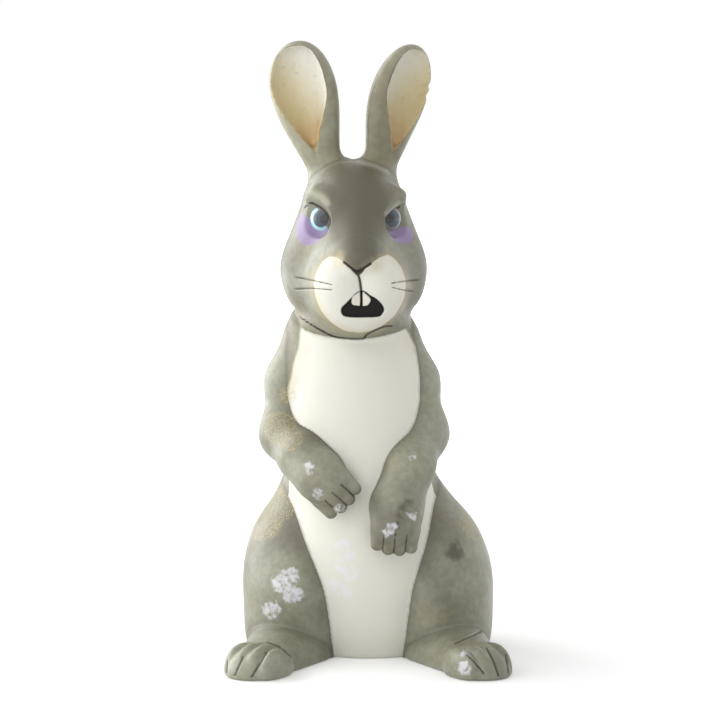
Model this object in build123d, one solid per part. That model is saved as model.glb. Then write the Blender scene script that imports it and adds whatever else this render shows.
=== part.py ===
from build123d import *
import os
from math import cos, exp, pi, radians, sin, sqrt

# Ceramic rabbit figurine: a hollow cast body with limbs, a head and ears luted on.
# The rabbit sits upright and faces -Y, with its own left side at +X. Sizes are in millimetres.
# Every piece is cast on its own and seated on the next with a film of slip between them.
slip_gap = 0.2

# Body: neck_height is where the neck seam crosses the upright through the middle of the neck.
neck_height = 133.0
torso_width = 70.0
torso_depth = 68.0
torso_wall = 4.5
floor_wall = 4.0
ring_width = 7.0
ring_depth = 1.2
vent_radius = 6.0

# Neck: the seam leans forward, and a collar on the body enters the head.
neck_tilt_degrees = 20.0
collar_radius = 11.5
collar_wall = 3.0
collar_height = 8.0

# Haunches
haunch_height = 73.0
haunch_width = 44.6
haunch_depth = 62.0

# Hind feet: a low pad that tapers from heel to toe, with four toes fanned across its end
foot_length = 35.0
heel_radius = 17.0
ball_radius = 10.6
pad_height = 9.8
foot_turn_degrees = 20.0
toe_turn_degrees = 33.0
toe_pitch = 5.5
toe_half_width = 4.1
toe_reach = 9.8
toe_thickness = 7.4
toe_centre_height = 4.6

# Forelegs: a bent limb of changing radius that ends in four small toes
foreleg_radius = 9.6
paw_toe_pitch = 4.3
paw_toe_half_width = 2.9
paw_toe_half_depth = 4.2
paw_toe_reach = 6.5

# Head: head_height runs from below the chin to the crown
head_height = 72.4
head_width = 57.0
head_depth = 60.0
head_turn_degrees = 4.0
head_wall = 5.0
mouth_width = 16.4
mouth_height = 9.8
mouth_depth = 1.0
tooth_width = 3.3
tooth_height = 5.4
tooth_gap = 0.8

# Eyes: glass domes with flat backs, each in a lidded socket
eye_radius = 6.2
eye_dome_height = 4.2
eye_seat_wall = 2.0
lid_half_width = 6.8
lid_half_height = 5.4
lid_depth = 4.2
eye_turn_degrees = 50.0
lid_tilt_degrees = 24.0

# Ears: ear_depth is the whole section from its back to where its front would be without the dish
ear_height = 56.0
ear_width = 26.8
ear_depth = 16.0
ear_outer_rim = 1.6
ear_inner_rim = 3.6
ear_top_rim = 2.0
ear_dish_depth = 25.2
ear_dish_set = 9.2
ear_dish_lift = 11.0
ear_dish_shift = 4.0

# Tail
tail_width = 17.0
tail_depth = 15.0
tail_height = 19.0

# Points round one outline of each kind of piece
head_points = 24
body_points = 16
ear_points = 16
limb_points = 24
toe_count = 4

# Torso: height as a share of neck_height, then the sideways lean and the width as shares of
# torso_width, then the front and back as shares of torso_depth.
torso_shares = (
    (0.000, 0.003, 0.857, -0.154, 0.588),
    (0.060, 0.003, 0.943, -0.221, 0.662),
    (0.188, 0.001, 1.000, -0.301, 0.691),
    (0.323, -0.009, 0.943, -0.338, 0.654),
    (0.429, -0.023, 0.871, -0.343, 0.588),
    (0.541, -0.049, 0.817, -0.335, 0.500),
    (0.662, -0.064, 0.800, -0.331, 0.412),
    (0.767, -0.077, 0.771, -0.324, 0.353),
    (0.857, -0.086, 0.720, -0.301, 0.309),
    (0.932, -0.094, 0.657, -0.265, 0.279),
    (1.008, -0.100, 0.614, -0.206, 0.265),
    (1.083, -0.100, 0.571, -0.162, 0.250),
)

# Haunch: height as a share of haunch_height, distance of its middle from the torso's middle as a
# share of torso_width, width as a share of haunch_width, front and back as shares of haunch_depth.
haunch_shares = (
    (0.000, 0.390, 0.906, -0.210, 0.532),
    (0.110, 0.386, 0.978, -0.274, 0.613),
    (0.247, 0.384, 1.000, -0.315, 0.661),
    (0.411, 0.393, 0.973, -0.327, 0.677),
    (0.507, 0.391, 0.933, -0.290, 0.661),
    (0.589, 0.379, 0.892, -0.242, 0.637),
    (0.685, 0.353, 0.830, -0.185, 0.597),
    (0.767, 0.321, 0.740, -0.142, 0.548),
    (0.822, 0.303, 0.650, -0.113, 0.500),
    (0.904, 0.280, 0.493, -0.048, 0.419),
    (1.000, 0.250, 0.314, 0.000, 0.323),
)

# Hind feet: where the heel's round end lies
heel_across_share = 0.45
heel_along_share = -0.12

# Forelegs: x as a share of torso_width, y of torso_depth, z of neck_height, radius of
# foreleg_radius. The right one lies higher across the belly than the left one.
foreleg_shares = {
    "right": (
        (-0.323, 0.059, 0.917, 1.02),
        (-0.426, 0.044, 0.805, 0.93),
        (-0.449, -0.029, 0.654, 0.97),
        (-0.351, -0.235, 0.602, 0.90),
        (-0.257, -0.368, 0.553, 0.86),
        (-0.200, -0.397, 0.523, 0.77),
    ),
    "left": (
        (0.147, 0.059, 0.917, 1.00),
        (0.254, 0.044, 0.805, 0.91),
        (0.294, -0.029, 0.658, 0.98),
        (0.223, -0.235, 0.571, 0.90),
        (0.159, -0.368, 0.466, 0.90),
        (0.149, -0.404, 0.406, 0.91),
    ),
}
paw_bend_share = 0.35

# Head: height as a share of head_height, half the width as a share of head_width, then back, face,
# snout reach and snout spread as shares of head_depth.
head_shares = (
    (0.000, 0.211, 0.100, 0.158, 0.000, 0.233),
    (0.055, 0.298, 0.167, 0.283, 0.017, 0.233),
    (0.110, 0.360, 0.217, 0.317, 0.100, 0.233),
    (0.166, 0.395, 0.267, 0.325, 0.183, 0.258),
    (0.235, 0.430, 0.317, 0.325, 0.233, 0.283),
    (0.318, 0.474, 0.375, 0.325, 0.258, 0.300),
    (0.414, 0.500, 0.410, 0.325, 0.262, 0.300),
    (0.483, 0.493, 0.420, 0.325, 0.292, 0.242),
    (0.552, 0.467, 0.423, 0.308, 0.305, 0.208),
    (0.622, 0.433, 0.420, 0.292, 0.258, 0.200),
    (0.704, 0.395, 0.410, 0.275, 0.192, 0.200),
    (0.787, 0.365, 0.387, 0.263, 0.125, 0.200),
    (0.856, 0.326, 0.347, 0.242, 0.075, 0.200),
    (0.912, 0.267, 0.293, 0.213, 0.042, 0.200),
    (0.960, 0.179, 0.217, 0.167, 0.017, 0.200),
    (0.992, 0.079, 0.117, 0.083, 0.000, 0.200),
)
chin_share = 0.180
mouth_base_share = 0.215
eye_width_share = 0.274
eye_depth_share = -0.225
eye_height_share = 0.704
lid_proud_share = 0.4

# Ears: places are shares of head_width across, head_depth back and head_height up. The facing is
# the angle, in degrees, by which the dish turns outwards.
ear_root_share = 0.878
ear_widest_share = 0.65
ear_root_width_share = 0.56
ear_dish_taper_share = 0.36
ear_seat_share = 0.067
ear_lean_share = 0.08
ear_shares = {
    "right": {"root": -0.154, "tip": -0.362, "curl": 2.0, "tall": 1.000, "facing": -18.0},
    "left": {"root": 0.160, "tip": 0.397, "curl": 1.0, "tall": 0.975, "facing": 36.0},
}
ear_stations_shares = (0.0, 0.12, 0.24, 0.36, 0.48, 0.58, 0.68, 0.78, 0.86, 0.92, 0.965, 0.992)

# Tail: how far back its middle lies, and how high
tail_along_share = 0.69
tail_lift_share = 0.74

side_of = {"left": 1, "right": -1}
reach = 2 * (neck_height + head_height)
head_base = neck_height - head_height * chin_share


def ring(points):
    """Closed smooth outline through points."""
    return Wire([Edge.make_spline([Vector(point) for point in points], periodic=True)])


def turns(count):
    """Angles evenly spaced round one outline, from the back round by the left side."""
    return [2 * pi * index / count for index in range(count)]


def oval(height, centre, half_width, front, back):
    """Oval outline at one height, from y = front to y = back."""
    middle, half_depth = (front + back) / 2, (back - front) / 2
    around = turns(body_points)
    points = [(centre + half_width * sin(turn), middle + half_depth * cos(turn), height) for turn in around]
    return ring(points)


def torso_lean(height):
    """Sideways place of the torso's middle at one height, read between the stations."""
    share = height / neck_height
    for low, high in zip(torso_shares, torso_shares[1:]):
        if share <= high[0]:
            part = (share - low[0]) / (high[0] - low[0])
            return torso_width * (low[1] + part * (high[1] - low[1]))
    return torso_width * torso_shares[-1][1]


def torso_form(grow):
    """The torso's outer form, grown all round by grow and standing a little below the floor."""
    ovals = []
    for height, lean, width, front, back in torso_shares:
        place = (height * neck_height, lean * torso_width, width * torso_width / 2 + grow)
        ovals.append(oval(*place, front * torso_depth - grow, back * torso_depth + grow))
    return Solid.make_loft([ovals[0].moved(Pos(0, 0, -ring_depth))] + ovals)


def haunch_form(side, grow):
    """One haunch's outer form, grown all round by grow."""
    ovals = []
    for height, offset, width, front, back in haunch_shares:
        level = height * haunch_height
        centre = torso_lean(level) + side * offset * torso_width
        half = width * haunch_width / 2 + grow
        ovals.append(oval(level, centre, half, front * haunch_depth - grow, back * haunch_depth + grow))
    return Solid.make_loft([ovals[0].moved(Pos(0, 0, -ring_depth))] + ovals)


def head_form(grow):
    """The head's outer form in its own frame: ovals whose front swells into a snout.

    A grown or shrunk form keeps its proportions, so that it closes at the crown.
    """
    rings = []
    width, depth, tall = head_width + 2 * grow, head_depth + 2 * grow, head_height + grow
    for height, half, back, face, snout, spread in head_shares:
        points = []
        for turn in turns(head_points):
            x, along = half * width * sin(turn), cos(turn)
            y = back * depth * along if along > 0 else face * depth * along
            if along < 0:
                y -= snout * depth * sqrt(-along) * exp(-(x / (spread * depth)) ** 4)
            points.append((x, y, height * tall))
        rings.append(ring(points))
    crown = head_shares[-1]
    return Solid.make_loft(rings + [Vertex(0, (crown[2] - crown[3]) * depth / 2, tall)])


def above(plane):
    """A block that fills the space on the plane's positive side."""
    return plane * Box(reach, reach, reach, align=(Align.CENTER, Align.CENTER, Align.MIN))


def rod(plane, radius, length):
    """A cylinder that stands on a plane."""
    return plane * Cylinder(radius, length, align=(Align.CENTER, Align.CENTER, Align.MIN))


def egg(width, depth, height):
    """An egg of three half sizes about its own middle."""
    return scale(Sphere(1), by=(width, depth, height))


def below_floor():
    """A block that fills the space under the floor."""
    return Pos(0, 0, -reach) * Box(reach, reach, reach, align=(Align.CENTER, Align.CENTER, Align.MIN))


def seam(lift):
    """The neck seam's plane, lifted along its own normal."""
    tilt = radians(neck_tilt_degrees)
    middle = (torso_lean(neck_height), 0, neck_height)
    plane = Plane(origin=middle, x_dir=(1, 0, 0), z_dir=(0, -sin(tilt), cos(tilt)))
    return plane.offset(lift)


head_place = Pos(torso_lean(head_base), 0, head_base) * Rot(0, 0, head_turn_degrees)


def torso_shell():
    """Hollow body with a recessed base, a vent in its floor and a collar that enters the head."""
    collar = rod(seam(-torso_wall), collar_radius, torso_wall + collar_height)
    floor_top = ring_depth + floor_wall
    cavity = torso_form(-torso_wall) - above(seam(-torso_wall)) - Pos(0, 0, floor_top) * below_floor()
    bore = rod(seam(-2 * torso_wall), collar_radius - collar_wall, 2 * torso_wall + collar_height)
    recess = torso_form(-ring_width) - above(Plane.XY.offset(ring_depth))
    middle = recess.bounding_box().center()
    vent = rod(Plane((middle.X, middle.Y, 0)), vent_radius, floor_top + floor_wall)
    body = torso_form(0) - above(seam(0)) - below_floor() + collar
    return body - cavity - bore - recess - vent


def haunch(side):
    """One haunch, luted against the torso."""
    return haunch_form(side, 0) - torso_form(slip_gap) - below_floor()


def hind_foot(side):
    """One hind foot: a flattened tapered pad with a fan of toes, under the front of its haunch."""
    turn = radians(foot_turn_degrees)
    heel = Vector(heel_across_share * torso_width * side, heel_along_share * torso_depth, 0)
    ball = heel + Vector(foot_length * sin(turn) * side, -foot_length * cos(turn), 0)
    lean = (heel_radius - ball_radius) / foot_length
    rise = sqrt(1 - lean * lean)
    along = Plane(origin=heel, z_dir=ball - heel)
    start, end = heel_radius * lean, foot_length + ball_radius * lean
    taper = along.offset(start) * Cone(
        heel_radius * rise, ball_radius * rise, end - start, align=(Align.CENTER, Align.CENTER, Align.MIN))
    squash = pad_height / ball_radius
    pad = scale(taper, by=(1, 1, squash)) + Pos(*heel) * egg(heel_radius, heel_radius, heel_radius * squash)
    pad += Pos(*ball) * egg(ball_radius, ball_radius, pad_height)
    for index in range(toe_count):
        step = index - (toe_count - 1) / 2
        fan = Rot(0, 0, toe_turn_degrees * side) * Pos(step * toe_pitch * side, 0, 0)
        pad += Pos(ball.X, ball.Y, toe_centre_height) * fan * egg(toe_half_width, toe_reach, toe_thickness)
    return pad - below_floor() - haunch_form(side, slip_gap) - torso_form(slip_gap)


def foreleg(name):
    """One foreleg: round sections along a smooth bent path, ending in a paw with four toes."""
    rows = foreleg_shares[name]
    points = [Vector(x * torso_width, y * torso_depth, z * neck_height) for x, y, z, radius in rows]
    path = Edge.make_spline(points)
    stations = [(path.param_at_point(point), row[3]) for point, row in zip(points, rows)]
    middles = [((a + c) / 2, (b + d) / 2) for (a, b), (c, d) in zip(stations, stations[1:])]
    rings = []
    for spot, share in sorted(stations + middles):
        frame = Plane(origin=path @ spot, x_dir=(0, 1, 0), z_dir=path % spot)
        radius = share * foreleg_radius
        outline = [(radius * cos(turn), radius * sin(turn), 0) for turn in turns(limb_points)]
        rings.append(ring([frame.from_local_coords(point) for point in outline]))
    limb = Solid.make_loft(rings)
    paw = Plane(origin=path @ 1, x_dir=(1, 0, 0), z_dir=path % 1)
    limb += paw * Sphere(rows[-1][3] * foreleg_radius)
    for index in range(toe_count):
        step = index - (toe_count - 1) / 2
        toe = Pos(step * paw_toe_pitch, 0, paw_toe_reach * (1 - paw_bend_share * step * step / 2))
        limb += paw * toe * egg(paw_toe_half_width, paw_toe_half_depth, paw_toe_reach)
    return limb - torso_form(slip_gap)


def mouth_block(width, height, base):
    """An arched block that crosses the muzzle, with its flat base at the given height."""
    arch = Plane.XZ * Polyline((-width / 2, base), (width / 2, base))
    curve = Plane.XZ * ThreePointArc((width / 2, base), (0, base + height), (-width / 2, base))
    return extrude(make_face(arch + curve), amount=reach)


def eye_frame(side):
    """Plane at the front of one eye, facing outwards, with its long axis rising to the outer end."""
    turn, tilt = radians(eye_turn_degrees), radians(lid_tilt_degrees)
    across, back = side * eye_width_share * head_width, eye_depth_share * head_depth
    front = Vector(across, back, eye_height_share * head_height)
    outward = Vector(side * sin(turn), -cos(turn), 0)
    level = Vector(side * cos(turn), sin(turn), 0)
    return Plane(origin=front, x_dir=level * cos(tilt) + Vector(0, 0, sin(tilt)), z_dir=outward)


def eye_dome(side, grow):
    """Cap of a ball behind the eye's front point, with a flat back."""
    plane = eye_frame(side)
    ball = plane * Pos(0, 0, -eye_radius) * Sphere(eye_radius + grow)
    return ball & above(plane.offset(-eye_dome_height - grow))


def ear_width_at(part, tip):
    """Width of an ear as a share of its widest, at a part of its height: a leaf with a round tip."""
    if part > ear_widest_share:
        return sqrt(max(0, 1 - ((part - ear_widest_share) / (tip - ear_widest_share)) ** 2))
    wave = (1 + cos(pi * (1 - part / ear_widest_share))) / 2
    return ear_root_width_share + (1 - ear_root_width_share) * wave


def ear_frame(name, part):
    """Frame in the middle of one ear at a part of its height, turned the way the ear faces."""
    place = ear_shares[name]
    swing = place["root"] + (place["tip"] - place["root"]) * (1 - (1 - part) ** place["curl"])
    level = part * place["tall"] * ear_height
    back = ear_seat_share * head_depth + ear_lean_share * level
    return Pos(swing * head_width, back, ear_root_share * head_height + level) * Rot(0, 0, place["facing"])


def ear(name):
    """One ear: a tall leaf with a rounded back and a pointed dish in its front, seated on the head."""
    tall = ear_shares[name]["tall"] * ear_height
    leaf_rings, dish_rings = [], []
    for part in ear_stations_shares:
        size = ear_width_at(part, 1)
        half, deep = ear_width / 2 * size, ear_depth / 2 * size
        points = [(half * sin(turn), deep * cos(turn), 0) for turn in turns(ear_points)]
        leaf_rings.append(ring(points).moved(ear_frame(name, part)))
    foot, tip = ear_dish_lift / tall, 1 - ear_top_rim / tall
    for share in ear_stations_shares[1:]:
        part = foot + (tip - foot) * share
        full = ear_width_at(part, tip)
        size = full * min(1, share / ear_dish_taper_share)
        half, deep = (ear_width - ear_outer_rim - ear_inner_rim) / 2 * size, ear_dish_depth / 2 * size
        shift = side_of[name] * ((ear_inner_rim - ear_outer_rim) / 2 + ear_dish_shift * (full - size))
        points = [(half * sin(turn), deep * cos(turn), 0) for turn in turns(ear_points)]
        place = ear_frame(name, part) * Pos(shift, -ear_dish_set * full, 0)
        dish_rings.append(ring(points).moved(place))
    return Solid.make_loft(leaf_rings) - Solid.make_loft(dish_rings) - head_form(slip_gap)


def head_shell():
    """Hollow head, open where the neck collar enters, with blind lidded sockets and a shallow mouth."""
    local_seam = seam(slip_gap)
    head = head_place * head_form(0) & above(local_seam)
    cavity = (head_place * head_form(-head_wall)) & above(seam(head_wall))
    neck = rod(seam(-torso_wall), collar_radius + slip_gap, torso_wall + collar_height + head_wall)
    for side in side_of.values():
        cavity -= head_place * eye_dome(side, slip_gap + eye_seat_wall)
    head -= cavity
    head -= neck
    for side in side_of.values():
        lid_place = eye_frame(side) * Pos(0, 0, lid_proud_share * lid_depth)
        head -= head_place * (lid_place * egg(lid_half_width, lid_half_height, lid_depth))
        head -= head_place * eye_dome(side, slip_gap)
    base = mouth_base_share * head_height
    mouth = mouth_block(mouth_width, mouth_height, base) - head_form(-mouth_depth)
    for side in side_of.values():
        tooth = Pos(side * (tooth_width + tooth_gap) / 2, -reach / 2, base + mouth_height)
        mouth -= tooth * Box(tooth_width, reach, 2 * tooth_height)
    return head - head_place * mouth


def tail():
    """The scut: an egg seated low on the back."""
    place = Pos(torso_lean(0), tail_along_share * torso_depth, tail_lift_share * tail_height)
    return place * egg(tail_width / 2, tail_depth / 2, tail_height / 2) - torso_form(slip_gap)


def write_parts():
    """Every piece in its own file, with the floor at z = 0 and the outline's middle at the origin."""
    pieces = {"torso_shell": torso_shell(), "head_shell": head_shell(), "tail": tail()}
    for name, side in side_of.items():
        pieces["haunch_" + name] = haunch(side)
        pieces["hind_foot_" + name] = hind_foot(side)
        pieces["foreleg_" + name] = foreleg(name)
        pieces["ear_" + name] = head_place * ear(name)
        pieces["eye_" + name] = head_place * eye_dome(side, 0)
    box = Compound(children=[Compound(piece.solids()) for piece in pieces.values()]).bounding_box()
    home = Pos(-box.center().X, -box.center().Y, -box.min.Z)
    os.makedirs("parts", exist_ok=True)
    for name, piece in pieces.items():
        solids = (home * piece).solids()
        whole = solids[0] if len(solids) == 1 else Compound(solids)
        whole.label = name
        export_step(whole, "parts/" + name + ".step")
        print(name, len(solids), "solids", round(sum(solid.volume for solid in solids)), "mm3")


write_parts()
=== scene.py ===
import math

import bpy
import numpy as np
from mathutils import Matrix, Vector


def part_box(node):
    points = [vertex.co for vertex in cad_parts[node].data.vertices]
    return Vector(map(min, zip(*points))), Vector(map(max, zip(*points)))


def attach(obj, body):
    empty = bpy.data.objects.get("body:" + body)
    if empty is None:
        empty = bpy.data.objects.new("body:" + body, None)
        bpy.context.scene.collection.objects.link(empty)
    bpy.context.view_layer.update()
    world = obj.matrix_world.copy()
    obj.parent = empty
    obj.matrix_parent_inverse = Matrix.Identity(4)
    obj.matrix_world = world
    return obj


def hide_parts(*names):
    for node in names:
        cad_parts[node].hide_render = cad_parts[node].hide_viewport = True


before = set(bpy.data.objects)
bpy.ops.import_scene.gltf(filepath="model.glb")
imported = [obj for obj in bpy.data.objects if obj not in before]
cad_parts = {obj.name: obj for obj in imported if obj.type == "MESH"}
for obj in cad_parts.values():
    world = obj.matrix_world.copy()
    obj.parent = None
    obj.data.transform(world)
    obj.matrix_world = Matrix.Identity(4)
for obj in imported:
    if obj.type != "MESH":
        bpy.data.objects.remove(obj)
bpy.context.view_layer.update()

bl_info = {
    "name": "Ceramic rabbit",
    "version": (1, 0, 0),
    "blender": (4, 5, 0),
    "location": "View3D > Sidebar > Rabbit",
    "description": "A painted, slip-cast rabbit ornament",
    "category": "Add Mesh",
}

# The tables are in millimetres in the maker's frame: the rabbit faces -y, its left side is at +x, and
# x = 0 lies midway between its hind feet. side is 1 on its left and -1 on its right.
mm = 0.001
sides = {"left": 1, "right": -1}

# Camera: place, downward pitch in degrees, and focal length in pixels of a square photo
camera_place = np.array((-3.1, -1100.0, 230.0))
camera_pitch = 5.93
focal_pixels = 2849.0
photo_pixels = 720
pixel_mm = 0.385

# How fast a piece sinks once its neighbour owns the surface, per mm
dive = 0.5

# Body by height: z, middle, half width, front, back
torso_table = np.array((
    (0, 0.2, 30.0, -10.5, 40), (8, 0.2, 33.0, -15, 45), (25, 0.1, 35.0, -20.5, 47), (43, -0.6, 33.0, -23, 44.5),
    (57, -1.6, 30.5, -23.3, 40), (72, -3.4, 28.6, -22.8, 34), (88, -4.5, 28.0, -22.5, 28),
    (102, -5.4, 27.0, -22, 24), (114, -6.0, 25.2, -20.5, 21), (124, -6.6, 23.0, -18, 19),
    (134, -7.0, 21.5, -14, 18), (144, -7.0, 20.0, -11, 17)))
ring_width, ring_depth, vent_radius, vent_depth, vent_place = 7.0, 1.2, 6.0, 5.2, (0.2, 14.75)
seam_height, seam_slope = 133.0, 0.364

# Haunch by height: z, distance from the body's middle, half width, front, back
haunch_table = np.array((
    (0, 27.3, 20.2, -13, 33), (8, 27.0, 21.8, -17, 38), (18, 26.9, 22.3, -19.5, 41), (30, 27.5, 21.7, -20.3, 42),
    (37, 27.4, 20.8, -18, 41), (43, 26.5, 19.9, -15, 39.5), (50, 24.7, 18.5, -11.5, 37),
    (56, 22.5, 16.5, -8.8, 34), (60, 21.2, 14.5, -7, 31), (66, 19.6, 11.0, -3, 26), (73, 17.5, 7.0, 0, 20)))

# Forelegs from shoulder to paw: x, y, z, radius
foreleg_tables = {
    -1: np.array(((-22.6, 4, 122, 9.8), (-29.8, 3, 107, 8.9), (-31.4, -2, 87, 9.3), (-24.6, -16, 80, 8.6),
                  (-18.0, -25, 73.5, 8.3), (-14.0, -27, 69.5, 7.4))),
    1: np.array(((10.3, 4, 122, 9.6), (17.8, 3, 107, 8.7), (20.6, -2, 87.5, 9.4), (15.6, -16, 76, 8.6),
                 (11.1, -25, 62, 8.6), (10.4, -27.5, 54, 8.8))),
}

# Toes: pitch, radii, reach, and how the outer ones drop and shorten. Grooves between the paws' toes, inked dark as
# painted shade: half width, and how far along and outwards they start
paw_toe_pitch, paw_toe_radii, paw_toe_reach = 4.3, (2.9, 2.45), (-3.0, 3.2)
paw_toe_out, paw_toe_along, paw_toe_drop, paw_toe_short = 1.2, 5.0, 0.5, 0.7
paw_groove_half, paw_groove_along, paw_groove_out = 0.3, 3.0, 0.5
toe_steps = (-1.5, -0.5, 0.5, 1.5)

# Hind feet
heel, heel_radius = np.array((31.5, -8.0, 1.0)), 17.0
ball, ball_radius = np.array((43.5, -41.0, 1.0)), 10.6
foot_squash = 1.2
toe_middle, toe_turn, toe_pitch = np.array((41.6, -39.6, 4.6)), 33.0, 5.5
toe_half, toe_bow, toe_slant = (4.1, 9.8, 7.4), 0.35, 0.3

# Head, in its own frame: eggs by middle and half sizes, rods by both ends and both radii
head_place, head_turn = np.array((-5.4, 0.0, 0.0)), 4.0
skull, cheeks = ((0, 2.5, 170.0), (20.6, 21.5, 22.3)), ((0, 2, 151.0), (28.5, 22, 21))
jaws, chin = ((0, -2, 143.0), (25.2, 19, 14)), ((0, -19, 138), (14.5, 14, 10.5))
snout_rod, muzzle_lobe = ((0, -7, 174), (0, -26.5, 160.0), 14.0, 8.6), ((7.0, -22, 147.5), (11.5, 13.5, 12.5))
throat, nose_tip = ((0, -5, 131), (21.5, 15.5, 11)), ((0, -33.8, 157.4), (6.0, 4.2, 4.4))
brow_rod = ((7.5, -17.5, 174.5), (15.5, -10.5, 179.5), 2.8, 3.4)
eye_front, eye_ball, eye_cap = np.array((14.9, -14.4, 171.2)), 7.1, 4.2
eye_out = np.array((0.63, -0.777, 0.0))
lid_half, lid_tilt, lid_proud = (8.2, 6.6, 4.2), 24.0, 1.6
lid_outer, lid_inner, lid_radii = (17.6, -10.0, 180.2), (8.7, -18.6, 172.6), (1.4, 1.8)

# How much of the mouth's depth the teeth stand out by, and how softly an ear flows into the head
tooth_stand, ear_soft = 0.75, 7.0

# Ears: widest height, half width, half depth, turn, drop from the widest height to the narrow foot
ear_foot, ear_foot_share, ear_lean, ear_seat = 183.0, 0.5, 0.08, 4.0
ear_tables = {
    -1: dict(wide=220.0, half=13.4, deep=8.0, turn=-14.0, drop=36.4, root=-14.5, swing=-11.9, curl=2.0, tall=56.0),
    1: dict(wide=219.0, half=13.4, deep=8.0, turn=40.0, drop=35.5, root=3.4, swing=13.5, curl=1.0, tall=54.6),
}
dish_rim, dish_top, dish_shift, dish_set, dish_deep, dish_foot = 1.7, 1.8, 0.9, 9.2, 12.6, 195.5
dish_least_deep, dish_least_wide, dish_point_tall, dish_point_deep, dish_power = 1.2, 0.06, 24.5, 18.0, 1.4


# Ears' rings: first height, gap under the tip, and counts of rows and columns
first_ring, tip_gap, ear_counts, ear_quick_counts = 184.5, 0.02, (215, 400), (100, 180)

# Chips in the left ear's rim by height and size, and where they start and reach full depth across
chips, chip_inner, chip_outer = ((217.8, 1.3), (221.6, 0.9)), 9.0, 12.0

# Tail's half depth, and the place of its back
tail_deep, tail_back = 7.5, 54.42

# Eyes' paint, in mm across and up from the front: middles and radii of iris and pupil, the pale ring of painted
# reflection and the slanting line that ends it, the dark corner, and how much narrower the left eye's ring is
iris_across, iris_up, iris_radius, pupil_across, pupil_radius = 0.9, 0.2, 3.4, 2.5, 1.7
ring_across, ring_outer, ring_inner, glint_across, glint_slant = 0.2, 4.9, 3.3, 1.5, 0.6
corner_across, left_ring_less = 3.9, 0.9

# Sprayed areas: reach, height and stretch of the forehead's dusk, and reach, height and half length of the
# bridge's. In the dish: the height that stain and amber are measured from, and their rise and slant
forehead_reach, forehead_height, forehead_wide, forehead_tall = 12, 176, 1.1, 1.5
bridge_reach, bridge_height, bridge_half = 8, 167, 9
stain_height, stain_rise, stain_slant, amber_rise, amber_slant = 207, 14, 1.2, -1, -0.5

# Cream of the dish: how far it stops short at the point, over what height, and the dark line along its rim
point_inset, point_tall, rim_half, rim_place = 0.9, 7, 0.15, 0.25

# The most that a patchy spot's mark may be, in mm: the lower it is, the less of the spot is covered
drip_and_highlight_most, sand_most, haunch_most, foot_most, cheek_shade_most = 0.4, -0.2, 0.3, 0.2, -0.8

# Painted outlines and strokes, in pixels of the photo
muzzle_outline = ((344.2, 262.5), (336.7, 257.5), (330, 256.7), (322.5, 261.7), (317, 270.8), (314.5, 280),
                  (314.2, 288.3), (315.8, 296.7), (319.2, 306.7), (324.2, 315), (331.7, 322.5), (341.7, 329.2),
                  (351.7, 332), (361.7, 332.5), (373.3, 330), (383.3, 325), (393.3, 316.7), (400, 306.7),
                  (404.2, 296.7), (405.8, 286.7), (404.7, 276.7), (400.8, 266.7), (395, 259.2), (388.3, 255),
                  (381.7, 256.7), (375.8, 260), (370.8, 264.2), (363.3, 269.2), (357.5, 273.3), (350, 268.3))
mouth_outline = ((361, 290.8), (355.8, 293.3), (351.7, 297.5), (346.7, 302.5), (341.3, 308.3), (341.3, 313.3),
                 (345.8, 317), (360, 317.7), (378.3, 317), (383.7, 313.3), (384.7, 309.2), (381.7, 303.3),
                 (375.8, 298.3), (370, 295), (365, 291.3))
tooth_outlines = (
    ((352.8, 296.7), (358.3, 292.8), (360.2, 292.5), (360.2, 305), (357, 305.8), (353.3, 305.3), (351.3, 302.5)),
    ((362.8, 292.5), (365.8, 293.8), (370, 297.5), (371.2, 300.8), (368.3, 305.3), (365, 306.2), (362.8, 305)))
lilac_outlines = (
    ((297.6, 219), (296, 228.3), (298.3, 238.3), (304, 244.7), (313.3, 244.2), (320.8, 239.2), (327.5, 232.5),
     (328.3, 229.2), (320, 224), (306, 217), (302, 213.5)),
    ((389.2, 228), (390.8, 236.7), (396.7, 241.7), (405, 243.3), (410.8, 240.8), (413.3, 235.8), (411.5, 230),
     (408, 226.5), (400, 228)))
bib_outline = ((304, 320), (299, 345), (295, 360), (285, 400), (283, 412), (278, 470), (282, 520), (296, 560),
               (308, 595), (318, 630), (322, 672), (414, 672), (418, 640), (428, 610), (442, 570), (450, 540),
               (448, 510), (438, 478), (430, 440), (429, 412), (431, 400), (425, 355), (413, 343), (401, 320),
               (380, 300), (330, 300))
nose_outline = ((346, 252), (344, 260), (350, 266.5), (357.5, 271), (364, 267), (371, 261), (370, 252), (358, 248))
head_strokes = (
    (((344.2, 262.5), (350, 267), (356.5, 271), (363.3, 268.6), (370.8, 263.6)), 1.3),
    (((357.3, 271), (358.6, 276), (360, 281), (361.2, 290), (361.6, 298), (361.7, 305)), 1.25),
    (((353, 269.5), (358, 274), (363, 269.5)), 1.6),
    (((295.8, 277.5), (313.3, 280.8), (331.7, 284.7)), 0.5), (((295.8, 289.2), (313.3, 288.7), (331.7, 290)), 0.5),
    (((392, 283.3), (405, 281.2), (418.3, 280)), 0.5), (((392.5, 287.5), (403.3, 290), (413.3, 291.3)), 0.5),
    (((304.2, 207), (310, 202.8), (315.8, 205), (322.5, 209.2), (327.5, 215.8), (328.8, 223.3)), 1.2),
    (((387.5, 222), (388.5, 216), (394, 211), (401, 206)), 0.9))
# Painted highlights along the ridges of the brows, the nose and the seam at the ears' foot: points and half widths
ridge_highlight_strokes = (
    (((309, 178), (310, 191), (321, 196), (327, 202)), 3.4), (((387, 214), (393, 209), (399, 203)), 2.0),
    (((312, 172), (325, 164), (340, 160), (360, 162), (380, 168), (396, 176)), 1.6),
    (((338, 258), (345, 260)), 2.0), (((345, 258.5), (351, 263.5), (357, 267), (364, 264), (371, 258.5)), 1.0))
muzzle_stains = ((340, 260, 8), (375, 265, 7))
# Spots of painted shade on the rabbit's left cheek
cheek_shade_spots = ((414, 262, 24), (420, 285, 20))
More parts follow.
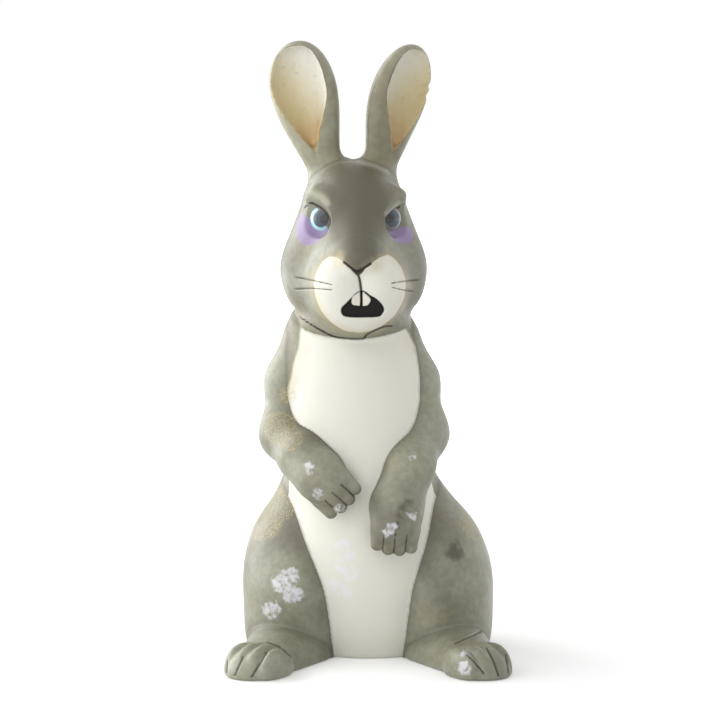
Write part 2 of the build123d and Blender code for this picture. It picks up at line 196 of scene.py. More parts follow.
# Glossy flakes on the paws, haunches and feet, with highlights painted pale on them: places and radii
paw_spots = (
    (309, 468, 4), (317, 493, 4.5), (339, 508, 4), (389, 531, 5), (412, 516, 3), (413, 457, 2), (393, 527, 3))
haunch_spots = ((289, 578, 9), (293, 594, 9), (271, 610, 8), (281, 584, 8), (464, 668, 6), (464, 655, 3))
# Glossy drips on the belly, with highlights painted pale on them
drip_and_highlight_spots = ((343, 545, 7), (340, 565, 6), (350, 575, 7), (333, 585, 6), (345, 592, 7), (350, 555, 5))
smudge_spots = (
    (409, 502, 3), (403, 508, 3), (399, 516, 3), (397, 524, 3), (455, 553, 8), (262, 635, 2), (455, 545, 4))
sand_spots = ((280, 428, 16), (290, 438, 12), (275, 500, 22), (480, 520, 20), (262, 520, 20), (288, 395, 8))
# Tooled grooves over and between the hind toes, pressed in and inked dark as painted shade: points and half widths
tooled_groove_and_shade_strokes = ((((268, 642), (280, 647), (291, 656)), 0.8), (((486, 629), (475, 634), (455, 643)), 0.8),
                (((267, 653), (258, 667), (249, 682)), 1.0), (((243, 657), (238, 668), (233, 679)), 0.8),
                (((227, 661), (226, 675)), 0.7), (((464, 653), (474, 662), (484, 674)), 0.8),
                (((487, 648), (494, 662), (499, 677)), 1.0), (((506, 655), (509, 675)), 0.7))
seam_stroke = (
    ((300, 317), (312, 325), (330, 335), (342, 338), (362, 339), (367.5, 334), (383, 327), (392, 326)), 1.0)
unmarked = -10.0


# Fields: each gives roughly the distance in mm to a surface, under 0 inside it

def between(z, heights, values):
    """Smooth curve through a table: cubic runs whose slopes are the mean slopes on both sides."""
    gaps, rises = np.diff(heights), np.diff(values) / np.diff(heights)
    slopes = np.concatenate((rises[:1], (gaps[1:] * rises[:-1] + gaps[:-1] * rises[1:]) / (gaps[1:] + gaps[:-1]),
                             rises[-1:]))
    z = np.clip(z, heights[0], heights[-1])
    run = np.clip(np.searchsorted(heights, z, side="right") - 1, 0, len(gaps) - 1)
    t = (z - heights[run]) / gaps[run]
    return ((2 * t**3 - 3 * t**2 + 1) * values[run] + (t**3 - 2 * t**2 + t) * gaps[run] * slopes[run]
            + (3 * t**2 - 2 * t**3) * values[run + 1] + (t**3 - t**2) * gaps[run] * slopes[run + 1])


def ease(x, low, high):
    """0 below low, 1 above high and a smooth S between."""
    t = np.clip((x - low) / (high - low), 0, 1)
    return t * t * (3 - 2 * t)


def union(a, b, soft):
    """The lesser of two fields, rounded where they differ by less than soft."""
    near = np.maximum(soft - np.abs(a - b), 0) / soft
    return np.minimum(a, b) - near * near * soft / 4


def cut(a, b, soft):
    """The greater of two fields, rounded the same way."""
    return -union(-a, -b, soft)


def turned(degrees):
    """Matrix that turns row vectors about the upright by an angle."""
    c, s = math.cos(math.radians(degrees)), math.sin(math.radians(degrees))
    return np.array(((c, -s, 0), (s, c, 0), (0, 0, 1)))


def egg(p, middle, half, axes=None):
    """Ellipsoid: k0 (k0 - 1) / k1, where k0 is the length of the place over the half sizes, and k1 that over
    their squares."""
    q = p - np.asarray(middle)
    if axes is not None:
        q = q @ axes
    k0 = np.linalg.norm(q / np.asarray(half), axis=-1)
    k1 = np.linalg.norm(q / np.asarray(half) ** 2, axis=-1)
    return k0 * (k0 - 1) / np.maximum(k1, 1e-9)


def oval(x, y, half, deep):
    """Flat ellipse, by the same formula."""
    k0 = np.sqrt((x / half) ** 2 + (y / deep) ** 2)
    k1 = np.sqrt((x / half**2) ** 2 + (y / deep**2) ** 2)
    return k0 * (k0 - 1) / np.maximum(k1, 1e-9)


def taper(p, a, b, start, end):
    """Round rod from a to b whose radius runs from start to end."""
    a, b = np.asarray(a), np.asarray(b)
    t = np.clip(((p - a) @ (b - a)) / ((b - a) @ (b - a)), 0, 1)
    return np.linalg.norm(p - a - t[..., None] * (b - a), axis=-1) - (start + (end - start) * t)


def stack(p, table):
    """Ovals whose middle, width, front and back follow a table by height, cut at the floor and the top."""
    z = p[..., 2]
    middle, half, front, back = (between(z, table[:, 0], table[:, i]) for i in range(1, 5))
    d = oval(p[..., 0] - middle, p[..., 1] - (front + back) / 2, half, (back - front) / 2)
    return cut(cut(d, -z, 1.5), z - table[-1, 0], 6.0)


def torso_field(p):
    """Body: ovals stacked by its table."""
    return stack(p, torso_table)


def haunch_field(side):
    """Thigh: ovals stacked by its table, set out from the body's middle line."""
    table = haunch_table.copy()
    table[:, 1] = between(table[:, 0], torso_table[:, 0], torso_table[:, 1]) + side * table[:, 1]
    return lambda p: stack(p, table)


def paw_axes(side):
    """Middle of a paw, and its axes across, outwards and along."""
    table = foreleg_tables[side][:, :3]
    along = table[-1] - table[-2]
    along = along / np.linalg.norm(along)
    out = np.array((0, -1.0, 0)) + along * along[1]
    out = out / np.linalg.norm(out)
    return table[-1], np.stack((np.cross(along, out), out, along), axis=1)


def foreleg_field(side):
    """Tapered rods from joint to joint, and four toes fanned over the paw's end."""
    table = foreleg_tables[side]
    middle, axes = paw_axes(side)

    def field(p):
        d = taper(p, table[0, :3], table[1, :3], table[0, 3], table[1, 3])
        for a, b in zip(table[1:], table[2:]):
            d = union(d, taper(p, a[:3], b[:3], a[3], b[3]), 7.0)
        toes = None
        for step in toe_steps:
            x, y = step * paw_toe_pitch, paw_toe_out - paw_toe_drop * step**2
            ends = [middle + axes @ np.array((x, y, paw_toe_along + reach - paw_toe_short * step**2))
                    for reach in paw_toe_reach]
            toe = taper(p, *ends, *paw_toe_radii)
            toes = toe if toes is None else union(toes, toe, 0.7)
        return union(d, toes, 1.6)
    return field


def foot_field(side):
    """A flattened tapered pad with four toes, cut at the floor. The table is for the left foot."""
    turn = math.radians(toe_turn)
    along = np.array((math.sin(turn), -math.cos(turn), 0))
    across = np.array((-along[1], along[0], 0))
    axes = np.stack((across, along, np.array((0, 0, 1.0))), axis=1)
    squash = np.array((1, 1, foot_squash))

    def field(p):
        q = p * np.array((side, 1, 1.0))
        d = taper(q * squash, heel * squash, ball * squash, heel_radius, ball_radius)
        toes = None
        for step in toe_steps:
            drop = -toe_bow * step**2
            place = toe_middle + axes @ np.array((step * toe_pitch, drop - toe_slant * step, drop))
            toe = egg(q, place, toe_half, axes)
            toes = toe if toes is None else union(toes, toe, 0.7)
        return cut(union(d, toes, 2.0), -q[..., 2], 1.5)
    return field


def lid_axes():
    """Long axis, short axis and outward axis of an eye, for the rabbit's left eye."""
    level = np.cross((0, 0, 1.0), eye_out)
    c, s = math.cos(math.radians(lid_tilt)), math.sin(math.radians(lid_tilt))
    return np.stack((level * c + np.array((0, 0, s)), -level * s + np.array((0, 0, c)), eye_out), axis=1)


def head_frame(p):
    """Places in the head's own frame, which is set aside and turned."""
    return (p - head_place) @ turned(head_turn)


def out_of_head(q):
    """The way back from the head's own frame."""
    return q @ turned(head_turn).T + head_place


def head_field(p):
    """Soft union of skull, cheeks, jaws, snout, two muzzle lobes, chin, throat, brows and nose, with two sockets
    cut in and an upper lid over each."""
    q = head_frame(p)
    m = np.stack((np.abs(q[..., 0]), q[..., 1], q[..., 2]), axis=-1)
    d = egg(q, *skull)
    for theirs, soft in (
            (egg(q, *cheeks), 13), (egg(q, *jaws), 5), (taper(q, *snout_rod), 9), (egg(m, *muzzle_lobe), 9),
            (egg(q, *chin), 7), (egg(q, *throat), 4), (taper(m, *brow_rod), 5), (egg(q, *nose_tip), 4)):
        d = union(d, theirs, soft)
    d = cut(d, -egg(m, eye_front + eye_out * lid_proud, lid_half, lid_axes()), 1.5)
    return union(d, taper(m, lid_outer, lid_inner, *lid_radii), 1.5)


def ear_width(z, table, top):
    """Width share of an ear: a quarter ellipse above its widest height, half a cosine wave below it."""
    above = np.sqrt(np.clip(1 - ((z - table["wide"]) / (top - table["wide"])) ** 2, 0.0004, 1))
    t = np.clip((table["wide"] - z) / table["drop"], 0, 1)
    below = ear_foot_share + (1 - ear_foot_share) * (1 + np.cos(np.pi * t)) / 2
    return np.where(z > table["wide"], above, below)


def ear_middle(z, table):
    """Middle of an ear by height: across, its swing times one less the remaining height to the power of its curl,
    and back, an even lean."""
    rise = z - ear_foot - 1
    part = np.clip(rise / table["tall"], 0, 1)
    across = table["root"] + table["swing"] * (1 - (1 - part) ** table["curl"])
    return across, ear_seat + ear_lean * rise


def dish_oval(z, table, side, top):
    """Middle across, middle back, half width and depth of the dish, which runs to a point and grows shallow at its
    foot. The width share is one less the remaining height to the power of dish_power."""
    inner = ear_width(z, table, top - dish_top)
    part = np.clip((z - dish_foot) / dish_point_tall, 0, 1)
    wide = np.maximum(1 - (1 - part) ** dish_power, dish_least_wide)
    deep = dish_least_deep + (dish_deep - dish_least_deep) * ease(z, dish_foot - 2, dish_foot + dish_point_deep)
    middle, half = side * dish_shift * inner * wide, (table["half"] - dish_rim) * inner * wide
    return middle, -dish_set * inner, half, deep * inner


def ear_local(p, table):
    """Places across and back in an ear's own turned frame."""
    across, back = ear_middle(p[..., 2], table)
    q = np.stack((p[..., 0] - across, p[..., 1] - back, 0 * across), axis=-1) @ turned(table["turn"])
    return q[..., 0], q[..., 1]


def ear_top(side):
    """Highest point of an ear, in mm, from the frame."""
    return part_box("ear_left" if side > 0 else "ear_right")[1].z / mm - 0.05


def ear_field(side):
    """A leaf of ovals less a dish of ovals set forward, whose foot narrows to a point."""
    table, top = ear_tables[side], ear_top(side)

    def field(p):
        z = p[..., 2]
        x, y = ear_local(p, table)
        share = ear_width(z, table, top)
        leaf = oval(x, y, table["half"] * share, table["deep"] * share)
        d = np.maximum(leaf, np.maximum(z - top, ear_foot - z))
        middle, back, wide, deep = dish_oval(z, table, side, top)
        dish = cut(oval(x - middle, y - back, wide, deep), np.maximum(dish_foot - z, z - top + dish_top), 1.0)
        return cut(d, -dish, 1.0) * 0.8
    return field


def tail_field(p):
    """Scut: an ellipsoid whose width, height and back are the frame's."""
    low, high = (np.array(corner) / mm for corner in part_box("tail"))
    half = np.array(((high[0] - low[0]) / 2, tail_deep, (high[2] - low[2]) / 2))
    middle = np.array(((high[0] + low[0]) / 2, high[1] - tail_deep, (high[2] + low[2]) / 2))
    return egg(p, middle - home, half)


def seam_side(p):
    """Height over the neck seam, which leans forward."""
    return (p[..., 2] - seam_height - seam_slope * p[..., 1]) * 0.94


def base_hollow(p):
    """The recess inside the foot ring, and the kiln vent."""
    z = p[..., 2]
    over_floor = np.stack((p[..., 0], p[..., 1], np.maximum(z, 3)), axis=-1)
    recess = np.maximum(stack(over_floor, torso_table) + ring_width, z - ring_depth)
    away = np.hypot(p[..., 0] - vent_place[0], p[..., 1] - vent_place[1])
    return np.minimum(recess, np.maximum(away - vent_radius, z - vent_depth))


def haunch_soft(p):
    """Softness of the thigh's joint, which grows from a tooled crease in front to a smooth flank behind."""
    return 1.5 + 7.0 * ease(p[..., 1], -8, 12)


def shoulder_soft(p):
    """Softness of the foreleg's joint, which grows from the elbow up to the shoulder."""
    return 1.5 + 8.0 * ease(p[..., 2], 95, 112)


def joined(own, others, edge=None):
    """Own field flowing softly into its neighbours', and by how much a neighbour lies nearer."""
    def both(p):
        mine = own(p)
        total, nearest = mine, np.full(len(p), 1e3)
        for other, soft, owns in others:
            theirs = other(p)
            total = union(total, theirs, soft(p) if callable(soft) else soft)
            if owns:
                nearest = np.minimum(nearest, theirs)
        margin = mine - nearest
        if edge is not None:
            margin = np.maximum(margin, edge(p))
        return total, margin
    return both


def sunk(both):
    """The joined field, raised by dive times the square of the margin where a neighbour owns the surface, so that
    the skin sinks there, and cut just over the floor."""
    def field(p):
        total, margin = both(p)
        return np.maximum(total + dive * np.maximum(margin, 0) ** 2, 0.02 - p[..., 2])
    return field


# Meshes

def unit(v):
    """Vectors over their lengths."""
    return v / np.linalg.norm(v, axis=-1, keepdims=True)


def cast(origin, direction, field, reach):
    """Point of each ray where the field first turns positive: even steps outwards, then halving."""
    steps, halvings = 30, 13
    low, high, found = np.zeros(len(origin)), np.full(len(origin), reach), np.zeros(len(origin), bool)
    for step in range(1, steps + 1):
        left = np.flatnonzero(~found)
        far = reach * step / steps
        out = left[field(origin[left] + direction[left] * far) > 0]
        low[out], high[out], found[out] = far - reach / steps, far, True
    for _ in range(halvings):
        middle = (low + high) / 2
        out = field(origin + direction * middle[:, None]) > 0
        high, low = np.where(out, middle, high), np.where(out, low, middle)
    return origin + direction * ((low + high) / 2)[:, None]


def line_through(points, count):
    """Points evenly spaced along a smooth line through a few: the table curve over its running length."""
    points = np.asarray(points, float)
    along = np.concatenate(((0,), np.cumsum(np.linalg.norm(np.diff(points, axis=0), axis=1))))
    t = np.linspace(0, along[-1], count)
    return np.stack([between(t, along, points[:, i]) for i in range(3)], axis=1)


def cast_round(field, path, across, rows, columns, reach, crowd=0.0):
    """Grid of points where rays from a path meet a field.

    The rays leave the path square to it and fan over both of its ends as half balls. crowd draws the columns
    together on the side of across, by turn - crowd sin(turn).
    """
    start, middle, end = rows
    columns = columns
    line = line_through(path, middle)
    ahead = unit(np.gradient(line, axis=0))
    first, last = np.arange(1, start + 1) / (start + 1), np.arange(1, end + 1) / (end + 1)
    quarter = np.pi / 2
    polar = np.concatenate((np.pi - first * quarter, np.full(middle, quarter), quarter - last * quarter))
    row = np.concatenate((np.zeros(start, int), np.arange(middle), np.full(end, middle - 1)))
    axis, origin = ahead[row][:, None], line[row][:, None]
    u = unit(across - (np.asarray(across, float) * axis).sum(-1, keepdims=True) * axis)
    v = np.cross(axis, u)
    turn = np.arange(columns) * 2 * np.pi / columns
    turn = (turn - crowd * np.sin(turn))[None, :, None]
    polar = polar[:, None, None]
    direction = np.cos(polar) * axis + np.sin(polar) * (np.cos(turn) * u + np.sin(turn) * v)
    origin = np.broadcast_to(origin, direction.shape).reshape(-1, 3)
    direction = np.concatenate((direction.reshape(-1, 3), -ahead[:1], ahead[-1:]))
    origin = np.concatenate((origin, line[:1], line[-1:]))
    return cast(origin, direction, field, reach), direction, len(row), columns


def settle(points, field, rounds=5):
    """Moves points onto a surface: down the field's slope by the field over the length of its slope."""
    step, stride, least_steep, farthest, start = 0.02, 1, 0.2, 4, points
    for _ in range(rounds):
        value = field(points)
        slope = np.stack([(field(points + step * axis) - value) / step for axis in np.eye(3)], axis=1)
        steep = np.maximum((slope**2).sum(1, keepdims=True), least_steep)
        points = points - np.clip(value, -stride, stride)[:, None] * slope / steep
    move = points - start
    length = np.maximum(np.linalg.norm(move, axis=1, keepdims=True), 1e-9)
    return start + move * np.minimum(1, farthest / length)


def ear_rings(side, rows, columns):
    """Rings of an ear: round the leaf from rim to rim, then back along the dish.

    The dish's part of a ring is the higher of the dish's oval and the leaf's front. Rows lie closer to the tip, by
    a quarter sine wave.
    """
    table, top = ear_tables[side], ear_top(side)
    z = (first_ring + (top - tip_gap - first_ring) * np.sin(np.linspace(0, np.pi / 2, rows)))[:, None]
    share = ear_width(z, table, top)
    half, deep = table["half"] * share, table["deep"] * share
    middle, back, wide, low = dish_oval(z, table, side, top)
    least = 0.999
    first, last = (np.arcsin(np.clip((middle + edge * wide) / half, -least, least)) for edge in (-1, 1))
    t = np.linspace(0, 1, columns // 2, endpoint=False)[None]
    around = (np.pi + first) + t * ((last - first) - 2 * np.pi)
    leaf_x, leaf_y = -half * np.sin(around), half * 0 + deep * np.cos(around)
    turn = t * np.pi
    dish_x = np.clip(middle + wide * np.cos(turn), -least * half, least * half)
    front = -deep * np.sqrt(1 - (dish_x / half) ** 2)
    cut_in = ease(z, dish_foot, dish_foot + 3) * (z < top - dish_top)
    dish_y = front + (np.maximum(back + low * np.sin(turn), front) - front) * cut_in
    x, y = np.concatenate((leaf_x, dish_x), axis=1), np.concatenate((leaf_y, dish_y), axis=1)
    flat = np.stack((x, y, 0 * x), axis=-1) @ turned(table["turn"]).T
    across, behind = ear_middle(z, table)
    rings = flat + np.stack((across + 0 * x, behind + 0 * x, z + 0 * x), axis=-1)
    return rings.reshape(-1, 3)


def closed_mesh(name, points, rows, columns):
    """Closed skin over a grid of rings, with its two poles as the last two points, and its faces outwards."""
    grid = np.arange(rows * columns).reshape(rows, columns)
    beside = np.roll(grid, -1, axis=1)
    quads = np.stack((grid[:-1], beside[:-1], beside[1:], grid[1:]), axis=-1).reshape(-1, 4)
    first, last = np.full(columns, rows * columns), np.full(columns, rows * columns + 1)
    fans = np.concatenate((np.stack((first, beside[0], grid[0]), axis=-1),
                           np.stack((last, grid[-1], beside[-1]), axis=-1)))
    a, b, c, d = (points[quads[:, i]] for i in range(4))
    if (np.cross(c - a, d - b) * (a + b + c + d - 4 * points.mean(0))).sum() < 0:
        quads, fans = quads[:, ::-1], fans[:, ::-1]
    mesh = bpy.data.meshes.new(name)
    mesh.from_pydata((points + home) * mm, [], quads.tolist() + fans.tolist())
    mesh.polygons.foreach_set("use_smooth", np.ones(len(mesh.polygons), bool))
    mesh.update()
    piece = bpy.data.objects.new(name, mesh)
    bpy.context.scene.collection.objects.link(piece)
    return piece


def dress(piece, node, slot, marks):
    """Puts a piece in its node's place, with its marks as point attributes and its slot's finish."""
    for mark in dict.fromkeys(coat[0] for coat in coats[slot]):
        values = np.asarray(marks.get(mark, np.full(len(piece.data.vertices), unmarked)), np.float32)
        piece.data.attributes.new(mark, "FLOAT", "POINT").data.foreach_set("value", values)
    piece.data.materials.append(material_of(slot))
    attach(piece, "root")
    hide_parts(node)
    return piece


# Marks: distances in mm, over 0 inside a painted area

def photo_place(p):
    """Where points fall in the photo: the pinhole rule, focal length times place over depth."""
    pitch = math.radians(camera_pitch)
    ahead = np.array((0, math.cos(pitch), -math.sin(pitch)))
    up = np.array((0, math.sin(pitch), math.cos(pitch)))
    q = p - camera_place
    depth = q @ ahead
    middle = photo_pixels / 2
    across, down = focal_pixels * q[..., 0] / depth, focal_pixels * (q @ up) / depth
    return np.stack((middle + across, middle - down), axis=-1)


def smooth_line(points, closed):
    """Four points on each run of the cubic that passes through every given point."""
    points = np.asarray(points, float)
    before, after = np.roll(points, 1, 0), np.roll(points, -1, 0)
    if not closed:
        before[0], after[-1] = points[0], points[-1]
    slope = (after - before) / 2
    ends = (np.roll(points, -1, 0), np.roll(slope, -1, 0)) if closed else (points[1:], slope[1:])
    points, slope = (points, slope) if closed else (points[:-1], slope[:-1])
    t = (np.arange(4) / 4)[None, :, None]
    line = ((2 * t**3 - 3 * t**2 + 1) * points[:, None] + (t**3 - 2 * t**2 + t) * slope[:, None]
            + (3 * t**2 - 2 * t**3) * ends[0][:, None] + (t**3 - t**2) * ends[1][:, None]).reshape(-1, 2)
    return np.concatenate((line, line[:1] if closed else ends[0][-1:]))


def run_distance(spots, line):
    """Least distance from each spot to the straight runs of a line."""
    best = np.full(len(spots), 1e3)
    for a, b in zip(line, line[1:]):
        t = np.clip(((spots - a) @ (b - a)) / max((b - a) @ (b - a), 1e-9), 0, 1)
        best = np.minimum(best, np.linalg.norm(spots - a - t[:, None] * (b - a), axis=1))
    return best


def nearby(spots, line, margin, front):
    """Which spots in front fall in the box round a line, with a margin in pixels."""
    return np.flatnonzero(((spots > line.min(0) - margin) & (spots < line.max(0) + margin)).all(1) & front)


def area_mark(spots, outline, front):
    """Distance to an outline, over 0 inside it. A spot is inside if a level line from it crosses it an odd number
    of times."""
    line = smooth_line(outline, True)
    margin = 12
    near = nearby(spots, line, margin, front)
    mark = np.full(len(spots), unmarked)
    x, y = spots[near].T
    inside = np.zeros(len(near), bool)
    for (x0, y0), (x1, y1) in zip(line, line[1:]):
        if y0 != y1:
            inside ^= ((y0 > y) != (y1 > y)) & (x < (x1 - x0) * (y - y0) / (y1 - y0) + x0)
    away = run_distance(spots[near], line) * pixel_mm
    mark[near] = np.where(inside, away, -away)
    return mark


def areas_mark(spots, outlines, front):
    """The greatest mark of several outlines."""
    return np.max([area_mark(spots, outline, front) for outline in outlines], axis=0)


def strokes_mark(spots, strokes, front):
    """Half a stroke's width less the distance to its line, for the nearest stroke."""
    margin = 8
    mark = np.full(len(spots), unmarked)
    for points, half in strokes:
        line = smooth_line(points, False)
        near = nearby(spots, line, margin, front)
        mark[near] = np.maximum(mark[near], (half - run_distance(spots[near], line)) * pixel_mm)
    return mark


def spots_mark(spots, places, front, most=100.0):
    """Radius less the distance to the middle, for the nearest round spot, and never over a given most. A low one
    keeps the spot patchy."""
    mark = np.full(len(spots), unmarked)
    for x, y, radius in places:
        mark = np.maximum(mark, (radius - np.hypot(spots[:, 0] - x, spots[:, 1] - y)) * pixel_mm)
    return np.where(front, np.minimum(mark, most), unmarked)


# Materials

# Coats of paint in the order they were laid: mark, colour, width, wobble and grain of the edge, share, roughness
coats = {
    "painted_body": (
        # The two crease coats are painted shade: a soft darkening beside each seam and a darker line along it.
        ("crease", "dusk", 10.0, 5.0, 70.0, 0.85, 0.50), ("bib", "cream", 1.2, 1.6, 120.0, 1.0, 0.40),
        ("stain", "tan", 9.0, 9.0, 90.0, 0.32, 0.45), ("crease", "dusk", 1.6, 1.2, 300.0, 0.55, 0.60),
        ("sand", "tan", 0.9, 3.2, 1500.0, 0.60, 0.65), ("smudge", "ink", 3.0, 4.5, 420.0, 0.62, 0.60),
        # The drip and flake coats are glossy spots whose pale colour is painted highlight.
        ("line", "ink", 0.5, 0.5, 700.0, 0.70, 0.55), ("drip", "flake", 1.2, 5.5, 420.0, 0.55, 0.18),
        ("flake", "flake", 1.8, 6.0, 520.0, 0.66, 0.16)),
    # The head's two crease coats are painted shade along its seams to the ears and the body.
    "painted_head": (
        # The dusk coat is darker grey paint on the forehead and the bridge, and painted shade on the left cheek.
        ("crease", "dusk", 8.0, 5.0, 70.0, 0.60, 0.50), ("dusk", "dusk", 6.0, 5.0, 60.0, 1.0, 0.50),
        # The pale coat is painted highlight along the ridges of the brows, the nose and the ear seam.
        ("crease", "dusk", 1.6, 1.2, 300.0, 0.45, 0.60), ("pale", "pale", 2.2, 1.2, 300.0, 0.50, 0.45),
        ("muzzle", "cream", 0.5, 0.5, 300.0, 1.0, 0.38), ("stain", "tan", 4.0, 4.0, 130.0, 0.38, 0.45),
        ("lilac", "lilac", 1.3, 1.5, 420.0, 0.76, 0.34), ("nose", "dusk", 2.2, 1.5, 200.0, 0.85, 0.42),
        ("mouth", "ink", 0.3, 0.3, 500.0, 1.0, 0.35), ("tooth", "tooth", 0.3, 0.2, 500.0, 1.0, 0.28),
        ("line", "ink", 0.35, 0.3, 600.0, 0.92, 0.40)),
    "painted_ear": (
        ("dish", "cream", 0.5, 0.5, 400.0, 1.0, 0.45), ("stain", "tan", 34.0, 9.0, 130.0, 0.85, 0.50),
        ("amber", "amber", 16.0, 6.0, 220.0, 0.75, 0.50), ("rim", "dusk", 0.6, 1.4, 500.0, 0.60, 0.60)),
    # The eyes' glint coat is a painted reflection.
    "eye_glass": (("corner", "ink", 1.4), ("iris", "iris", 0.35), ("glint", "glint", 0.5), ("pupil", "ink", 1.2)),
}

# Share of mirrored light on plain paint and on dull lines, and the edges of the eyes' paint
plain_gloss, dull_gloss, eye_wobble, eye_grain = 0.5, 0.1, 0.3, 600.0


class Wires:
    """Short ways to add nodes and links to a tree."""

    def __init__(self, tree):
        self.tree, self.nodes, self.links = tree, tree.nodes, tree.links

    def add(self, kind, **values):
        node = self.nodes.new(kind)
        for key, value in values.items():
            setattr(node, key, value)
        return node

    def put(self, value, socket):
        if isinstance(value, bpy.types.NodeSocket):
            self.links.new(value, socket)
        else:
            socket.default_value = value

    def math(self, operation, a, b=0.0):
        node = self.add("ShaderNodeMath", operation=operation)
        self.put(a, node.inputs[0])
        self.put(b, node.inputs[1])
        return node.outputs[0]

    def range(self, value, low, high, out_low=0.0, out_high=1.0):
        node = self.add("ShaderNodeMapRange", interpolation_type="SMOOTHSTEP")
        for socket, number in zip(node.inputs, (value, low, high, out_low, out_high)):
            self.put(number, socket)
        return node.outputs[0]

    def mix(self, share, a, b):
        node = self.add("ShaderNodeMix", data_type="RGBA")
        self.put(share, node.inputs[0])
        self.put(a, node.inputs[6])
        self.put(b, node.inputs[7])
        return node.outputs[2]

    def blend(self, share, a, b):
        node = self.add("ShaderNodeMix", data_type="FLOAT")
        self.put(share, node.inputs[0])
        self.put(a, node.inputs[2])
        self.put(b, node.inputs[3])
        return node.outputs[0]

    def noise(self, scale, detail=3.0, seed=0.0):
        place = self.add("ShaderNodeTexCoord").outputs["Object"]
        move = self.add("ShaderNodeMapping")
        move.inputs["Location"].default_value = (seed, seed * 0.7, seed * 1.3)
        self.links.new(place, move.inputs["Vector"])
        node = self.add("ShaderNodeTexNoise")
        self.links.new(move.outputs[0], node.inputs["Vector"])
        self.put(scale, node.inputs["Scale"])
        node.inputs["Detail"].default_value = detail
        return node.outputs[0]

    def mark(self, name):
        return self.add("ShaderNodeAttribute", attribute_name=name).outputs["Fac"]


def new_group(name, inputs, outputs):
    """An empty node group with named sockets, its wires and its two end nodes."""
    tree = bpy.data.node_groups.new(name, "ShaderNodeTree")
    for kind, sockets in (("INPUT", inputs), ("OUTPUT", outputs)):
        for label, form in sockets:
            tree.interface.new_socket(name=label, in_out=kind, socket_type=form)
    wires = Wires(tree)
    return tree, wires, wires.add("NodeGroupInput").outputs, wires.add("NodeGroupOutput").inputs


def sprayed_group():
    """Sprayed paint: a tone that drifts between three colours, with fine dark specks and a dry, gritty surface."""
    name = "sprayed paint"
    if name in bpy.data.node_groups:
        return bpy.data.node_groups[name]
    colour, number = "NodeSocketColor", "NodeSocketFloat"
    tree, wires, given, result = new_group(
        name, (("Paint", colour), ("Shade", colour), ("Warm", colour), ("Specks", number)),
        (("Colour", colour), ("Roughness", number), ("Height", number)))
    drift = wires.range(wires.noise(26.0, detail=4.0, seed=2.0), 0.38, 0.68)
    tone = wires.mix(wires.math("MULTIPLY", drift, 0.75), given["Paint"], given["Shade"])
    warm = wires.range(wires.noise(44.0, detail=5.0, seed=5.0), 0.50, 0.74)
    tone = wires.mix(wires.math("MULTIPLY", warm, 0.40), tone, given["Warm"])
    mottle = wires.range(wires.noise(420.0, detail=4.0, seed=1.0), 0.3, 0.7, 0.90, 1.10)
    scaled = wires.add("ShaderNodeVectorMath", operation="SCALE")
    wires.put(tone, scaled.inputs[0])
    wires.put(mottle, scaled.inputs["Scale"])
    speck = wires.math("MULTIPLY", wires.range(wires.noise(1300.0, detail=2.0, seed=3.0), 0.66, 0.72), given["Specks"])
    wires.put(wires.mix(speck, scaled.outputs[0], given["Shade"]), result["Colour"])
    wires.put(wires.range(wires.noise(90.0, detail=4.0, seed=7.0), 0.3, 0.7, 0.30, 0.48), result["Roughness"])
    grit = wires.math("MULTIPLY", wires.noise(1500.0, detail=3.0, seed=4.0), 0.5)
    wires.put(wires.math("ADD", grit, wires.noise(300.0, detail=3.0, seed=8.0)), result["Height"])
    return tree


def edge_group():
    """A painted edge: the mark with a hand's wobble added, turned into a mask over a soft width."""
    name = "painted edge"
    if name in bpy.data.node_groups:
        return bpy.data.node_groups[name]
    number = "NodeSocketFloat"
    tree, wires, given, result = new_group(
        name, (("Mark", number), ("Width", number), ("Wobble", number), ("Grain", number)), (("Mask", number),))
    swing = wires.math("SUBTRACT", wires.noise(given["Grain"], detail=4.0, seed=6.0), 0.5)
    wander = wires.math("MULTIPLY", swing, given["Wobble"])
    where = wires.math("ADD", given["Mark"], wander)
    share = wires.math("ADD", wires.math("DIVIDE", where, given["Width"]), 0.5)
    wires.put(wires.range(share, 0.0, 1.0), result["Mask"])
    return tree


def use_group(wires, tree, **values):
    """Places a group in a material with its own values."""
    node = wires.add("ShaderNodeGroup", node_tree=tree)
    for label, value in values.items():
        wires.put(value, node.inputs[label])
    return node.outputs


def opaque(colour):
    """A colour with full cover."""
    return tuple(colour) + (1,)


